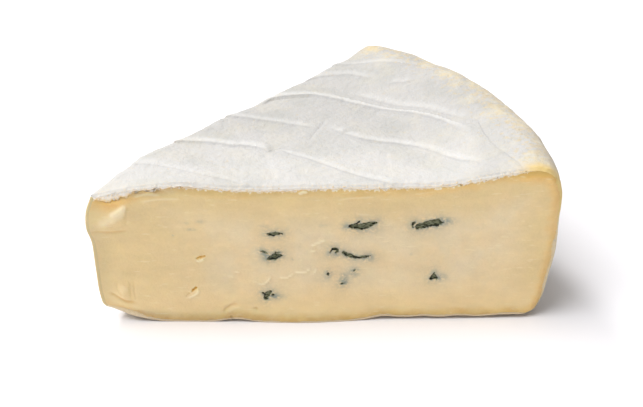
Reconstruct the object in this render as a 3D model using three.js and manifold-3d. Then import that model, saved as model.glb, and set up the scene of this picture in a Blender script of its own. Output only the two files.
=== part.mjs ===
// Wedge of soft blue cheese with a white bloomy rind, cut from a low round wheel.
// The wheel's axis is vertical, +Z is up, and the front cut face looks towards -Y.
// The wedge is one solid: a turned wheel with its rind's folds, cut by two knife strokes,
// with the small hollows that the blue mould and the gas leave in the cut faces.
// Sizes are in millimetres.
import * as THREE from "three";
import { mergeVertices } from "three/addons/utils/BufferGeometryUtils.js";
import Module from "manifold-3d";

const wasm = await Module();
wasm.setup();

// The wheel.
const WHEEL_RADIUS = 120;
const THICKNESS = 38.4;
const RIM_RISE = { height: 4.6, from: 84, to: 115 };
const TIP_HUMP = { height: 0.9, radius: 22, spread: 9 };
const TIP_SAG = { depth: 2.6, reach: 13 };
const TIP_UNDERCUT = { height: 5.4, reach: 20, from: 3 };
const BACK_DROP = { depth: 2.8, width: 14, from: 92, to: 109 };
const RIM_FLAT = { depth: 0.7, angle: THREE.MathUtils.degToRad(19), spread: 0.2 };

// The rim's line from its foot, over the bulge, to the crown: radius and height.
const RIM_LINE = [
  [109.5, 0],
  [112.9, 0.4],
  [114.8, 3],
  [117.1, 11.5],
  [119.1, 22.5],
  [120.2, 32],
  [119.3, 38.2],
  [116.9, 41.8],
  [113.2, 43],
];

// The two knife cuts.
const WEDGE_ANGLE = THREE.MathUtils.degToRad(49.1);
const EDGE_ROUND = { front: 2.4, back: 6 };
const LIP = { reach: 0.55, height: 2 };
const CROWN_CORNER = 40;

// Where the cut's point stands at the centre of the wheel: distance and height, from below.
const TIP_LINE = [
  [3.6, 3],
  [2.9, 6],
  [1.6, 10],
  [0.8, 17],
  [0.2, 23],
  [-1.2, 27.5],
  [-1.1, 32],
  [0.3, 35.6],
  [0.9, 38],
];
const TIP_BLUNT = 1.5;
const TIP_REACH = 8;

// How finely the surfaces are divided.
const TURN_STEPS = 236;
const RIM_STEPS = 17;
const UNDERSIDE_STEP = 5;
const TOP_STEP = 2.6;
const CUT_ROWS = 16;
const CUT_OVERRUN = 0.08;
const CUT_STOPS = [TIP_BLUNT, 24, 108, 122, 1.16 * WHEEL_RADIUS];
const CUT_COLUMNS = [8, 24, 8, 1];
const CUT_DEPTHS = 4;

// Folds of the rind: the line each follows, seen from above, with its height and the widths of its
// gentle back slope and its steep front slope.
const FOLDS = [
  { line: [[30, 46], [54, 56], [78, 46], [98, 31]], height: 0.9, back: 4.6, front: 2.6 },
  { line: [[94, 37], [99, 27], [104, 19], [116, 6]], height: 0.75, back: 3.4, front: 2.5 },
  { line: [[62, 78], [77, 79], [90, 76]], height: 0.6, back: 4, front: 2.6 },
  { line: [[54, 68], [68, 70], [79, 62]], height: 0.6, back: 3.4, front: 2.5 },
  { line: [[26, 40], [49, 39], [66, 31], [86, 23], [107, 8]], height: 0.85, back: 3.8, front: 2.5 },
  { line: [[16, 29], [37, 26], [52, 18], [66, 8], [79, -4]], height: 1, back: 4, front: 2.5 },
  { line: [[10, 14], [24, 12], [33, 6], [42, -3]], height: 0.7, back: 3.8, front: 2.5 },
  { line: [[60, 28], [74, 18], [86, 8], [96, -2]], height: 0.5, back: 3.4, front: 2.5 },
];
const SLOW_WAVES = 0.28;
const CREASE = { line: [[101, 40], [104, 26], [108, 16], [112, 8]], depth: 0.6, width: 1.8 };

// Places where the foot is drawn up beside the front cut: from where to where outwards, and how far.
const FOOT_LIFTS = [
  { from: 30, to: 36, height: 0.8 },
  { from: 38, to: 44, height: -0.8 },
  { from: 66, to: 74, height: 0.65 },
  { from: 98, to: 106, height: 0.5 },
];
const FOOT_LIFT_REACH = 5;

// Soft mounds and dips of a cut face: distance from the axis and height, spread each way, height.
const FRONT_MOUNDS = [
  { at: [52, 0], spread: [13, 9], height: 1.3 },
  { at: [5, 30.5], spread: [8, 4.4], height: 1.1 },
  { at: [6, 16], spread: [9, 9], height: -0.5 },
  { at: [7.6, 7.5], spread: [2.8, 4], height: 0.55 },
];
const BACK_MOUNDS = [
  { at: [60, 20], spread: [34, 16], height: 0.9 },
  { at: [36, 24], spread: [14, 50], height: 1.1 },
];
const CUT_WAVES = 0.24;

// Hollows in a cut face: distance from the axis, height, half length, half height, tilt, depth.
const FRONT_HOLLOWS = [
  { at: [46.4, 25.4], half: [2.1, 0.8], tilt: 0, depth: 1.1 },
  { at: [47.1, 18.8], half: [2.2, 1], tilt: 10, depth: 1.2 },
  { at: [45.4, 7.9], half: [1.4, 1.1], tilt: 30, depth: 1 },
  { at: [68.6, 27.4], half: [3.7, 1.1], tilt: 9, depth: 1.5 },
  { at: [61.3, 20.1], half: [1.1, 0.8], tilt: 0, depth: 0.9 },
  { at: [66.4, 19], half: [2.3, 0.7], tilt: -13, depth: 1 },
  { at: [85.6, 27.5], half: [3.7, 1], tilt: 7, depth: 1.4 },
  { at: [87.7, 12], half: [1.2, 1], tilt: 20, depth: 1 },
  { at: [28, 18.8], half: [1.6, 0.6], tilt: 12, depth: 1 },
  { at: [26.2, 9.6], half: [1.1, 0.8], tilt: 45, depth: 1 },
];
const BACK_HOLLOWS = [
  { at: [30.5, 24.6], half: [1.5, 0.7], tilt: -8, depth: 1 },
  { at: [49.5, 14.2], half: [2.4, 0.9], tilt: 11, depth: 1.2 },
  { at: [51, 27.4], half: [2, 0.9], tilt: -5, depth: 1.1 },
  { at: [70.4, 9.6], half: [1.3, 1], tilt: 24, depth: 1 },
  { at: [69.2, 22.8], half: [3.5, 1.1], tilt: -9, depth: 1.5 },
  { at: [90.4, 17.2], half: [3, 0.9], tilt: 6, depth: 1.3 },
  { at: [92, 30.1], half: [1.8, 0.8], tilt: 14, depth: 1 },
];

const { smoothstep, clamp } = THREE.MathUtils;
const bump = (distance, spread) => Math.exp(-((distance / spread) ** 2));

// Slow, fixed unevenness between -1 and 1, used wherever the cheese isn't quite true.
function unevenness(a, b, phase) {
  const first = Math.sin(0.21 * a + 0.13 * b + phase);
  const second = Math.sin(0.34 * b - 0.11 * a + 2.3 * phase);
  return 0.6 * first + 0.4 * second;
}

// A smooth curve through a few measured points.
function curveThrough(line) {
  return new THREE.SplineCurve(line.map(([x, y]) => new THREE.Vector2(x, y)));
}

// For a curve that climbs steadily: how far out it is at each height.
function outByHeight(line, z) {
  const points = curveThrough(line).getPoints(60);
  const above = clamp(points.findIndex((point) => point.y >= z), 0, points.length);
  if (above === 0) return points[z > points[0].y ? points.length - 1 : 0].x;
  const from = points[above - 1];
  const to = points[above];
  return THREE.MathUtils.lerp(from.x, to.x, (z - from.y) / (to.y - from.y));
}

// Height of the plain top at a distance from the axis.
function topLine(r) {
  const hump = TIP_HUMP.height * bump(r - TIP_HUMP.radius, TIP_HUMP.spread);
  const sag = TIP_SAG.depth * Math.max(0, 1 - r / TIP_SAG.reach) ** 1.6;
  const rise = RIM_RISE.height * smoothstep(r, RIM_RISE.from, RIM_RISE.to);
  return THICKNESS + hump - sag + rise;
}

// Height of the plain underside, which curves up towards the tip.
function undersideLine(r) {
  const share = clamp((TIP_UNDERCUT.reach - r) / (TIP_UNDERCUT.reach - TIP_UNDERCUT.from), 0, 1.15);
  return TIP_UNDERCUT.height * share ** 1.9;
}

// Half of the wheel's section, from the axis below, round the rim, to the axis above.
function wheelProfile() {
  const points = [];
  for (let r = 0; r < TIP_UNDERCUT.reach; r += 3) {
    points.push(new THREE.Vector2(r, undersideLine(r)));
  }
  const rim = curveThrough(RIM_LINE).getSpacedPoints(RIM_STEPS);
  const foot = rim[0].x;
  for (let r = TIP_UNDERCUT.reach + 3; r < foot - 3; r += UNDERSIDE_STEP) {
    points.push(new THREE.Vector2(r, 0));
  }
  points.push(...rim.map((point) => new THREE.Vector2(point.x, Math.max(0, point.y))));
  const crown = rim[rim.length - 1].x;
  const rows = Math.round(crown / TOP_STEP);
  for (let i = rows - 1; i >= 0; i--) {
    points.push(new THREE.Vector2((crown * i) / rows, topLine((crown * i) / rows)));
  }
  return points;
}

// A fold's line as many short steps, so that the distance to it can be measured.
function traced(line) {
  return curveThrough(line).getSpacedPoints(40);
}

// Signed distance from a traced line, positive behind it, and how far along it the nearest point is.
function besideLine(points, x, y) {
  let best = { distance: Infinity, side: 1, along: 0 };
  for (let i = 0; i < points.length - 1; i++) {
    const run = new THREE.Vector2().subVectors(points[i + 1], points[i]);
    const from = new THREE.Vector2(x - points[i].x, y - points[i].y);
    const share = clamp(from.dot(run) / run.lengthSq(), 0, 1);
    const distance = Math.hypot(from.x - share * run.x, from.y - share * run.y);
    if (distance < best.distance) {
      const side = run.x * from.y - run.y * from.x >= 0 ? 1 : -1;
      best = { distance, side, along: (i + share) / (points.length - 1) };
    }
  }
  return best;
}

const tracedFolds = FOLDS.map((fold) => ({ ...fold, points: traced(fold.line) }));
const tracedCrease = traced(CREASE.line);

// How far the crown sinks where it meets the back cut at the rim.
function backDrop(x, y) {
  const toBack = x * Math.sin(WEDGE_ANGLE) - y * Math.cos(WEDGE_ANGLE);
  const outwards = smoothstep(Math.hypot(x, y), BACK_DROP.from, BACK_DROP.to);
  return BACK_DROP.depth * outwards * (1 - smoothstep(toBack, -2, BACK_DROP.width));
}

// The rind's relief at a place on the top: folds, the crease near the rim, and slow waves.
function rindRelief(x, y) {
  let height = 0;
  for (const fold of tracedFolds) {
    const { distance, side, along } = besideLine(fold.points, x, y);
    const ends = smoothstep(along, 0, 0.12) * (1 - smoothstep(along, 0.86, 1));
    const width = side > 0 ? fold.back : fold.front;
    height = Math.max(height, fold.height * ends * bump(distance, width));
  }
  const crease = CREASE.depth * bump(besideLine(tracedCrease, x, y).distance, CREASE.width);
  return height - crease + SLOW_WAVES * unevenness(x, y, 1.7);
}

// How far the foot of the rind is drawn up beside the front cut.
function footLift(x, y) {
  const rises = FOOT_LIFTS.map(({ from, to, height }) => height * smoothstep(x, from, to));
  return bump(y, FOOT_LIFT_REACH) * rises.reduce((sum, rise) => sum + rise, 0);
}

// The whole wheel, with the relief of its rind. It is turned the other way round, by a mirror and
// the triangles' corners in reverse, so that the facets' diagonals run along the folds.
function wheel() {
  const geometry = new THREE.LatheGeometry(wheelProfile(), TURN_STEPS);
  geometry.rotateX(Math.PI / 2);
  geometry.scale(1, -1, 1);
  geometry.index.array.reverse();
  const place = geometry.getAttribute("position");
  for (let i = 0; i < place.count; i++) {
    const x = place.getX(i);
    const y = place.getY(i);
    const z = place.getZ(i);
    const r = Math.hypot(x, y);
    const angle = Math.atan2(y, x);
    const onTop = smoothstep(z, 32, 37) * (1 - smoothstep(r, 113, 119));
    const onSide = smoothstep(r, 104, 112) * smoothstep(z, 1, 9);
    const flat = RIM_FLAT.depth * bump(angle - RIM_FLAT.angle, RIM_FLAT.spread);
    const swell = 1 + (onSide * (0.5 * unevenness(40 * angle, z, 0.4) - flat)) / WHEEL_RADIUS;
    const lifted = footLift(x, y) * (1 - smoothstep(z, 1, 8));
    const relief = onTop > 0 ? onTop * rindRelief(x, y) : 0;
    const dropped = smoothstep(z, 20, 36) * backDrop(x, y);
    place.setXYZ(i, x * swell, y * swell, z + relief + lifted - dropped);
  }
  return solid(geometry);
}

// How far a cut face stands out at a distance from the axis and a height.
function cutRelief(mounds, r, z, phase) {
  let out = CUT_WAVES * unevenness(r, 1.3 * z, phase);
  for (const { at, spread, height } of mounds) {
    out += height * bump(r - at[0], spread[0]) * bump(z - at[1], spread[1]);
  }
  return out;
}

const frontRelief = (r, z) => cutRelief(FRONT_MOUNDS, r, z, 0.9);
const backRelief = (r, z) => cutRelief(BACK_MOUNDS, r, z, 3.1);

// How far the rind's edge hangs over a cut face, and how the face draws back beside the rim.
function cutEdge(r, z, round) {
  const ragged = 0.75 + 0.35 * Math.sin(2.1 * r) * Math.sin(0.83 * r + 1);
  const over = LIP.reach * ragged * smoothstep(z, topLine(r) - LIP.height, topLine(r) - 0.4);
  const under = LIP.reach * (1 - smoothstep(z - undersideLine(r), 0.4, LIP.height));
  const rim = outByHeight(RIM_LINE, Math.min(z, CROWN_CORNER));
  const toRim = clamp((r - (rim - 1.3 * round)) / (1.3 * round), 0, 1.3);
  return over + under - round * toRim ** 2.4;
}

// A distance from the axis, with the columns closer together at the tip and the rim.
function columnAt(share) {
  const total = CUT_COLUMNS.reduce((sum, count) => sum + count, 0);
  let left = Math.round(share * total);
  let part = 0;
  while (left > CUT_COLUMNS[part]) {
    left -= CUT_COLUMNS[part];
    part += 1;
  }
  return THREE.MathUtils.lerp(CUT_STOPS[part], CUT_STOPS[part + 1], left / CUT_COLUMNS[part]);
}

// The space between the two knife strokes, with the cheese's soft point.
function slice() {
  const columns = CUT_COLUMNS.reduce((sum, count) => sum + count, 0);
  const geometry = new THREE.BoxGeometry(1, 1, 1, columns, CUT_DEPTHS, CUT_ROWS);
  const place = geometry.getAttribute("position");
  const centre = new THREE.Vector2();
  for (let i = 0; i < place.count; i++) {
    const across = place.getY(i) + 0.5;
    const r = columnAt(place.getX(i) + 0.5);
    const level = 0.5 - (0.5 + CUT_OVERRUN) * Math.cos(Math.PI * (place.getZ(i) + 0.5));
    const foot = undersideLine(r);
    const z = foot + level * (topLine(r) - foot);
    const standsOut = 1 - Math.exp(-r / 3);
    const front = frontRelief(r, z) + cutEdge(r, z, EDGE_ROUND.front);
    const back = backRelief(r, z) + cutEdge(r, z, EDGE_ROUND.back);
    const near = new THREE.Vector2(r, -standsOut * front);
    const far = new THREE.Vector2(r, standsOut * back).rotateAround(centre, WEDGE_ANGLE);
    near.lerp(far, across);
    const shift = outByHeight(TIP_LINE, z) * Math.exp(-(r - TIP_BLUNT) / TIP_REACH);
    const nose = r < TIP_BLUNT + 0.1 ? 0.9 * Math.sin(Math.PI * across) : 0;
    const outwards = new THREE.Vector2(shift - nose, 0).rotateAround(centre, WEDGE_ANGLE / 2);
    place.setXYZ(i, near.x + outwards.x, near.y + outwards.y, z);
  }
  return solid(geometry);
}

// One hollow: a flattened ball with an uneven outline, set into a cut face.
function hollow({ at, half, tilt, depth }, faceAngle, standsOut) {
  const ball = new THREE.IcosahedronGeometry(1, 2);
  const place = ball.getAttribute("position");
  for (let i = 0; i < place.count; i++) {
    const point = new THREE.Vector3().fromBufferAttribute(place, i);
    const swell = 1 + 0.16 * Math.sin(5 * point.x + at[0]) * Math.cos(4 * point.z + at[1]);
    point.multiplyScalar(swell);
    place.setXYZ(i, point.x, point.y, point.z);
  }
  ball.scale(half[0], depth, half[1]);
  ball.rotateY(-THREE.MathUtils.degToRad(tilt));
  ball.translate(at[0], -standsOut, at[1]);
  ball.rotateZ(faceAngle);
  return solid(ball);
}

// A closed geometry as a solid that can be cut and joined, without the pieces of no area that a
// turned shape has at its axis.
function solid(geometry) {
  const bare = new THREE.BufferGeometry();
  bare.setAttribute("position", geometry.getAttribute("position"));
  bare.setIndex(geometry.index);
  const merged = mergeVertices(bare, 1e-4);
  const corners = [];
  for (let i = 0; i < merged.index.count; i += 3) {
    const [a, b, c] = [0, 1, 2].map((k) => merged.index.getX(i + k));
    if (a !== b && b !== c && c !== a) corners.push(a, b, c);
  }
  const triVerts = new Uint32Array(corners);
  const vertProperties = merged.getAttribute("position").array;
  return new wasm.Manifold(new wasm.Mesh({ numProp: 3, vertProperties, triVerts }));
}

// The cheese: the wheel between the knife cuts, less the hollows.
function wedge() {
  let body = wheel().intersect(slice());
  for (const place of FRONT_HOLLOWS) {
    body = body.subtract(hollow(place, 0, frontRelief(...place.at)));
  }
  for (const place of BACK_HOLLOWS) {
    body = body.subtract(hollow(place, WEDGE_ANGLE, -backRelief(...place.at)));
  }
  const { vertProperties, triVerts } = body.getMesh();
  const geometry = new THREE.BufferGeometry();
  geometry.setAttribute("position", new THREE.BufferAttribute(vertProperties, 3));
  geometry.setIndex(new THREE.BufferAttribute(triVerts, 1));
  geometry.computeVertexNormals();
  return geometry;
}

// The finished wedge stands with the middle of its bounding box's foot at the origin.
const cheeseGeometry = wedge();
cheeseGeometry.computeBoundingBox();
const { min, max } = cheeseGeometry.boundingBox;
cheeseGeometry.translate(-(min.x + max.x) / 2, -(min.y + max.y) / 2, -min.z);

const cheeseMaterial = new THREE.MeshStandardMaterial({ color: 0xe6d3a6, roughness: 0.55 });
const cheese = new THREE.Mesh(cheeseGeometry, cheeseMaterial);
cheese.name = "cheese_wedge";

const group = new THREE.Group();
group.add(cheese);
export default group;
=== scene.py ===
# %% [markdown]
# # A wedge of soft blue cheese
# The wedge was cut with two strokes of a knife from a low round wheel. It has three finishes:
# cream paste on the cut faces, a white bloomy rind over the top, the rim and the underside, and
# blue mould in small pockets of the paste. This lesson makes the paste and the rind as two closed
# bodies that share one form, then adds the torn threads along the rind's edge.

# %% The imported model, as a fixed frame
import math

import bpy
import numpy as np
from mathutils import Matrix, Vector


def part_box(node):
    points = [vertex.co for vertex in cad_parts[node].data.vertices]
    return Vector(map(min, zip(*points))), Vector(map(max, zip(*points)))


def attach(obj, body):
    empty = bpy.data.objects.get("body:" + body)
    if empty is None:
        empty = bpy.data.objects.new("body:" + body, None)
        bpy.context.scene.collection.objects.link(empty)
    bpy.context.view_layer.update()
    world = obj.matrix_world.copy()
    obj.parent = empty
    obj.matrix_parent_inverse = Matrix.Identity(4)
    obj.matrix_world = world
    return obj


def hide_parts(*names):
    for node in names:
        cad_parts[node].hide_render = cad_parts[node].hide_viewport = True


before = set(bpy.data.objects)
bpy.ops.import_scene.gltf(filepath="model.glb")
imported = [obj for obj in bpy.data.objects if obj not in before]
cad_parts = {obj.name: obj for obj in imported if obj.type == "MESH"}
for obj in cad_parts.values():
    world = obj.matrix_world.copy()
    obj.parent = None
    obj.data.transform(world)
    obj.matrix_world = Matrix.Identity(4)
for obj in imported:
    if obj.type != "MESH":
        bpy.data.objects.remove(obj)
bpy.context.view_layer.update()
bpy.ops.object.select_all(action="DESELECT")

# %% [markdown]
# ## The cheese's own frame
# A wedge is easiest to measure from the centre of its wheel: distance from the centre, angle from
# the front cut, height above the ground. That is how cheesemakers and cutters think of it too.
# Sizes are in millimetres here, and turned into metres once, when a mesh gets its final places.

# %% Units and the wheel's centre
MM = 0.001
CENTRE_FROM_LEFT = 0.75
CENTRE_FROM_FRONT = 1.78
cheese_low, cheese_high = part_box("cheese_wedge")
wheel_centre = Vector((cheese_low.x + CENTRE_FROM_LEFT * MM, cheese_low.y + CENTRE_FROM_FRONT * MM, 0))
print("wheel centre, metres:", [round(x, 5) for x in wheel_centre])


def smoothstep(value, low, high):
    """0 at low, 1 at high, and smooth in between."""
    share = np.clip((value - low) / (high - low), 0, 1)
    return share * share * (3 - 2 * share)


def bump(distance, spread):
    """1 at no distance, falling to nothing in a bell whose half width is about the spread."""
    return np.exp(-((distance / spread) ** 2))


def swell(value, at, spread, height):
    """A bump of a height at a place."""
    return height * bump(value - at, spread)


def climb(value, start, end, height):
    """A smooth step of a height from one place to another."""
    return height * smoothstep(value, start, end)


def mix(a, b, share):
    return a + (b - a) * share


def rows(*columns):
    """Several arrays side by side, as x, y and z of points for example."""
    return np.stack(columns, axis=-1)


# %% The wheel's section
WHEEL_RADIUS = 120
THICKNESS = 38.4
WEDGE_ANGLE = math.radians(49.1)
TIP_BLUNT = 1.5
FOOT_RADIUS = 109.5
CROWN_RADIUS = 113.2
TIP_HUMP = {"at": 22, "spread": 9, "height": 0.9}
TIP_SAG = {"depth": 2.6, "reach": 13}
TIP_LIFT = {"height": 3.4, "reach": 20, "run": 17}
RIM_RISE = {"start": 84, "end": 115, "height": 4.6}

# Distance from the centre and height: round the rim from the foot to the crown, and up the point.
RIM_LINE = np.array([
    (109.5, 0), (113.4, 0.4), (115.1, 3), (117.1, 11.5), (119.1, 22.5),
    (120.2, 32), (119.3, 38.2), (116.9, 41.8), (113.2, 43),
])
TIP_LINE = np.array([
    (4.3, 3), (2.6, 4.8), (2.0, 6.6), (1.4, 10), (0.8, 17), (0.2, 23),
    (-1.2, 27.5), (-1.1, 32), (0.3, 35.6), (0.9, 38),
])


def curve_through(points, share):
    """A smooth curve that passes through a few points, read at shares from 0 to 1."""
    last = len(points) - 1
    place = np.clip(np.asarray(share, float), 0, 1) * last
    i = np.minimum(place.astype(int), last - 1)
    t = (place - i)[..., None]
    p0, p1 = points[np.maximum(i - 1, 0)], points[i]
    p2, p3 = points[i + 1], points[np.minimum(i + 2, last)]
    bend = 2 * p1 + (p2 - p0) * t + (2 * p0 - 5 * p1 + 4 * p2 - p3) * t**2
    return 0.5 * (bend + (3 * p1 - p0 - 3 * p2 + p3) * t**3)


RIM_CURVE = curve_through(RIM_LINE, np.linspace(0, 1, 161))
TIP_CURVE = curve_through(TIP_LINE, np.linspace(0, 1, 121))


def top_line(r):
    """Height of the plain top, which has a hump behind the point and rises to the crown."""
    sag = TIP_SAG["depth"] * np.maximum(0, 1 - r / TIP_SAG["reach"]) ** 1.6
    return THICKNESS + swell(r, **TIP_HUMP) - sag + climb(r, **RIM_RISE)


def underside_line(r):
    """Height of the underside, which curves up towards the point."""
    return TIP_LIFT["height"] * np.clip((TIP_LIFT["reach"] - r) / TIP_LIFT["run"], 0, 1.15) ** 1.6


def rim_radius(z):
    """How far out the rim is at a height."""
    return np.interp(z, np.maximum.accumulate(RIM_CURVE[:, 1]), RIM_CURVE[:, 0])


print("top at the rim, mm:", round(float(top_line(115.0)), 1))

# %% [markdown]
# ## Unevenness
# Nothing on a cheese is quite true. One small noise function serves every place that needs slow
# waves or fine grain, and because it is worked out from a point's place alone, the script gives
# the same cheese on every run.

# %% Noise from a point's place


def lattice(cell, seed):
    """A fixed number from -1 to 1 for each whole-number cell."""
    mixed = cell[..., 0] * 374761393 + cell[..., 1] * 668265263 + cell[..., 2] * 1442695041
    mixed = (mixed + seed * 974634777) & 0xFFFFFFFF
    mixed = ((mixed ^ (mixed >> 13)) * 1274126177) & 0xFFFFFFFF
    return ((mixed ^ (mixed >> 16)) & 0xFFFFFF) / 0x7FFFFF - 1


def clouds(points, size, seed=0, octaves=3):
    """Cloudy noise, about -1 to 1. size is one number, or one for each axis."""
    total = np.zeros(points.shape[:-1])
    weight = 0.55
    for octave in range(octaves):
        place = points / np.asarray(size, float) * 2**octave + 31.7 * (seed + octave)
        cell = np.floor(place).astype(np.int64)
        share = place - cell
        share = share * share * (3 - 2 * share)
        value = 0
        for corner in np.ndindex(2, 2, 2):
            near = np.where(np.array(corner) == 1, share, 1 - share).prod(axis=-1)
            value = value + near * lattice(cell + np.array(corner), seed + octave)
        total += weight * value
        weight *= 0.5
    return total


def slow_waves(a, b, phase):
    """Unevenness from -1 to 1 that is some 30 mm from crest to crest."""
    first = np.sin(0.21 * a + 0.13 * b + phase)
    return 0.6 * first + 0.4 * np.sin(0.34 * b - 0.11 * a + 2.3 * phase)


# %% [markdown]
# ## The cut faces
# A knife through soft cheese leaves a face that is nearly flat, with a belly near the foot where
# the paste has relaxed, a lump and a dip at the point, and a corner that is rounded beside the rim.
# Each mound has its place (distance from the centre and height), its reach both ways and how far it
# stands out. The plan below turns distance, share of the angle and height into a place.

# %% Relief of the cut faces
FRONT_MOUNDS = [
    ((52, 0), (13, 9), 1.3), ((5, 30.5), (8, 4.4), 1.1), ((6, 16), (9, 9), -0.5), ((7.4, 9), (3, 3.4), 0.6),
    ((4.4, 29.2), (2.4, 1.8), 0.35), ((7.2, 31), (2.2, 1.7), 0.35), ((9.2, 32.8), (1.6, 1.4), 0.3),
]
BACK_MOUNDS = [((60, 20), (34, 16), 0.9), ((36, 24), (14, 50), 1.1), ((60, 37), (28, 12), 1.3)]
EDGE_ROUND = {"front": 2.0, "back": 6.0}
EDGE_RUN = 1.3
CROWN_CORNER = 40
CUT_WAVES = 0.24
RELIEF_FADE = 3
TIP_REACH = 8
TIP_ROUND = {"depth": 0.9, "reach": 0.8}


def face_relief(mounds, r, z, phase, corner):
    """How far a cut face stands out at a distance from the centre and a height."""
    out = CUT_WAVES * slow_waves(r, 1.3 * z, phase)
    for (at_r, at_z), (spread_r, spread_z), height in mounds:
        out = out + height * bump(r - at_r, spread_r) * bump(z - at_z, spread_z)
    run = EDGE_RUN * corner
    past = (r - (rim_radius(np.minimum(z, CROWN_CORNER)) - run)) / run
    return out - corner * np.clip(past, 0, 1.3) ** 2.4


def front_out(r, z):
    return face_relief(FRONT_MOUNDS, r, z, 0.9, EDGE_ROUND["front"])


def back_out(r, z):
    return face_relief(BACK_MOUNDS, r, z, 3.1, EDGE_ROUND["back"])


def plan(r, across, z, more_front=0.0, more_back=0.0):
    """Where a point lies seen from above, from the front cut (across 0) to the back cut (1)."""
    stands = 1 - np.exp(-r / RELIEF_FADE)
    front = -stands * (front_out(r, z) + more_front)
    back = stands * (back_out(r, z) + more_back)
    angle = mix(np.arctan2(front, r), WEDGE_ANGLE + np.arctan2(back, r), across)
    radius = mix(np.hypot(front, r), np.hypot(back, r), across)
    past_tip = r - TIP_BLUNT
    shift = np.interp(z, TIP_CURVE[:, 1], TIP_CURVE[:, 0]) * np.exp(-past_tip / TIP_REACH)
    rounding = np.sin(math.pi * across) * np.exp(-past_tip / TIP_ROUND["reach"])
    shift = shift - TIP_ROUND["depth"] * rounding
    x = radius * np.cos(angle) + shift * math.cos(WEDGE_ANGLE / 2)
    y = radius * np.sin(angle) + shift * math.sin(WEDGE_ANGLE / 2)
    return x, y


# %% [markdown]
# ## The rind's folds
# As the wheel matured, its rind wrinkled into long low folds. Each is a soft ridge with a gentle
# slope behind and a steep one in front that ends in a fine line. A fold is named by a few points
# that its crest passes through, seen from above.

# %% Folds of the rind
# Each fold: points of its crest, its height, and the widths of its back and front slopes.
FOLDS = [
    (((42.6, 50.2), (47.2, 54.6), (53, 55.6), (59, 55.3), (68.3, 50.5), (78.6, 44.6), (84.5, 40.5),
      (90.3, 35.4), (94.5, 29.5), (99, 22.6)), 0.75, 3, 0.8),
    (((66.7, 57.5), (79.8, 47.5), (86.3, 43.2), (92.5, 37.5), (98.7, 31.6)), 0.45, 2, 0.8),
    (((54.5, 65.8), (59.3, 67.7), (64.2, 67.6), (69, 66.8), (77.2, 60.8)), 0.4, 2.4, 0.7),
    (((79, 58.9), (82.2, 58.2), (84.8, 57.9)), 0.28, 1.5, 0.6),
    (((62, 74.5), (74.1, 73), (87.7, 67)), 0.4, 3, 0.9),
    (((31.5, 43), (35.5, 42.3), (41.4, 40.7), (51.2, 37.9), (59, 34.5)), 0.55, 2.6, 0.7),
    (((60.5, 36), (65.9, 30), (72, 26.3), (78.8, 24.5), (84.8, 21.7), (91.7, 14.8), (96.9, 10),
      (101.8, 5.4)), 0.62, 2.8, 0.7),
    (((17, 27), (27.8, 27.3), (35.7, 24.4), (41.4, 23.2), (46, 20)), 0.7, 3, 0.7),
    (((46.5, 22.2), (54.3, 16.2), (63.5, 9), (68.4, 5.6), (73.2, 2.6), (78, -1)), 0.75, 2.6, 0.9),
    (((9, 13.6), (16.8, 11.3), (23.2, 8.3), (29.6, 5.4), (36.4, 3), (41, 0)), 0.4, 2.8, 0.9),
    (((65.3, 31), (67, 26.2), (69.1, 22.8)), 0.3, 0.8, 0.6),
    (((37.6, 24), (40.9, 16.4), (44.6, 6.8)), 0.22, 1.1, 1),
]
# Each crease: points that it passes through, its depth and its half width.
CREASES = [
    (((100.8, 31.9), (101.5, 25.2), (104, 15.6), (107.1, 8.1), (109.6, 2.4)), 0.48, 0.45),
    (((100.2, 33), (101.8, 24), (103.6, 18)), 0.3, 2),
    (((56.4, 28.8), (58.2, 33.3), (60.6, 39)), 0.26, 0.6),
    (((45.6, 20), (50.9, 23)), 0.22, 0.4),
    (((44.6, 18), (46, 11.6), (47.2, 6)), 0.2, 0.9),
]
# The fine line is a little in front of the crest, and the folds as listed were a little too high.
FOLD_FOOT = 0.2
FOLD_SHARE = 0.6
TOP_WAVES = 0.28
FULL_FOLD = 0.85
FULL_CREASE = 0.45
FINE_CREASE = 0.8
LINE_REACH = 4.0


def beside(points, x, y):
    """Signed distance from a smooth line, positive behind it, and how far along it that is."""
    line = curve_through(np.array(points, float), np.linspace(0, 1, 12 * len(points)))
    nearest = np.full(x.shape, 1e9)
    side = np.ones(x.shape)
    along = np.zeros(x.shape)
    for i, (start, end) in enumerate(zip(line[:-1], line[1:])):
        run = end - start
        from_x, from_y = x - start[0], y - start[1]
        share = np.clip((from_x * run[0] + from_y * run[1]) / (run @ run), 0, 1)
        distance = np.hypot(from_x - share * run[0], from_y - share * run[1])
        closer = distance < nearest
        nearest = np.where(closer, distance, nearest)
        side = np.where(closer, np.sign(run[0] * from_y - run[1] * from_x + 1e-9), side)
        along = np.where(closer, (i + share) / (len(line) - 1), along)
    return nearest * side, along


def fold_height(crest, height, back, front, x, y):
    distance, along = beside(crest, x, y)
    ends = smoothstep(along, 0, 0.1) * (1 - smoothstep(along, 0.88, 1))
    behind = bump(distance, back)
    before = 1 - smoothstep(-distance, 0, front) - 0.25 * bump(distance + front, 0.4)
    return height * ends * np.where(distance > 0, behind, before)


def rind_relief(x, y):
    """Height of the folds, the creases and the slow waves of the top, seen from above."""
    total = TOP_WAVES * slow_waves(x, y, 1.7)
    highest = np.zeros(x.shape)
    lowest = np.zeros(x.shape)
    for crest, height, back, front in FOLDS:
        fold = fold_height(crest, height, back, front, x, y)
        highest = np.maximum(highest, fold)
        lowest = np.minimum(lowest, fold)
    for line, depth, width in CREASES:
        distance, _ = beside(line, x, y)
        lowest = np.minimum(lowest, -depth * bump(distance, width))
    return total + FOLD_SHARE * (highest + lowest)


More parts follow.
